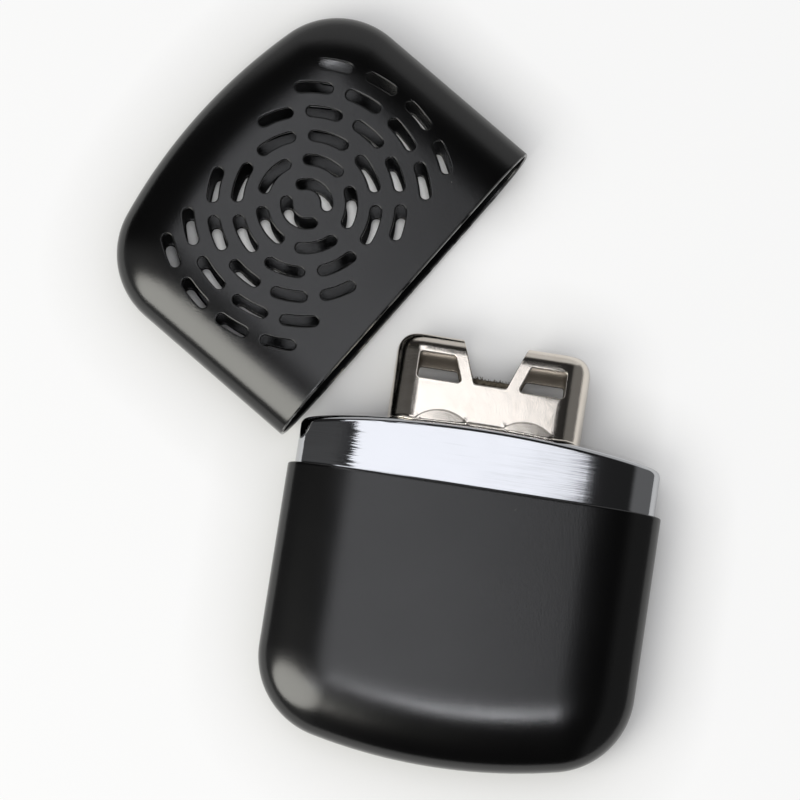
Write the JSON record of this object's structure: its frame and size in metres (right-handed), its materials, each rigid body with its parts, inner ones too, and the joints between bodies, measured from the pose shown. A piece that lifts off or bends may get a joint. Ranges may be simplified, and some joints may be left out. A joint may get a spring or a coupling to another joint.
{
  "type": "catalytic hand warmer",
  "caption": "Flat pocket hand warmer that burns lighter fuel without a flame: black tank with a bright collar, burner on the filler neck, and a vented cap laid beside it.",
  "frame": {"origin": "middle of the tank's flat back face, on which the hand warmer lies", "axes": "+Z out of the front face, +Y along the tank towards the burner, +X to the right as seen from the front"},
  "size_m": [0.1034, 0.1306, 0.0138],
  "materials": {
    "black_paint": "satin black powder paint on drawn steel",
    "chrome": "bright plating with fine brushing round the collar",
    "nickel": "warm bright nickel plating on thin pressed steel",
    "brass": "plain drawn brass tube",
    "gauze": "perforated steel",
    "mat": "dark platinised fibre mat with a frayed edge",
    "cotton": "cotton wadding"
  },
  "bodies": {
    "tank": {"tank_shell": "black_paint", "tank_collar": "chrome", "filler_neck": "brass", "fuel_wadding": "cotton", "neck_wick": "cotton"},
    "burner": {"burner_housing": "nickel", "burner_sleeve": "nickel", "mat_gauze": "gauze", "catalyst_mat": "mat"},
    "cap": {"cap_shell": "black_paint"}
  },
  "joints": [
    {"name": "cap_swing", "type": "hinge", "parent": "tank", "child": "cap", "pos_m": [-0.0385, 0.02555, 0.0069], "axis": [0, 0, 1], "range_deg": [-57.7, 32.3]},
    {"name": "burner_pull", "type": "slide", "parent": "tank", "child": "burner", "axis": [0, 1, 0], "range_m": [0, 0.008]}
  ]
}
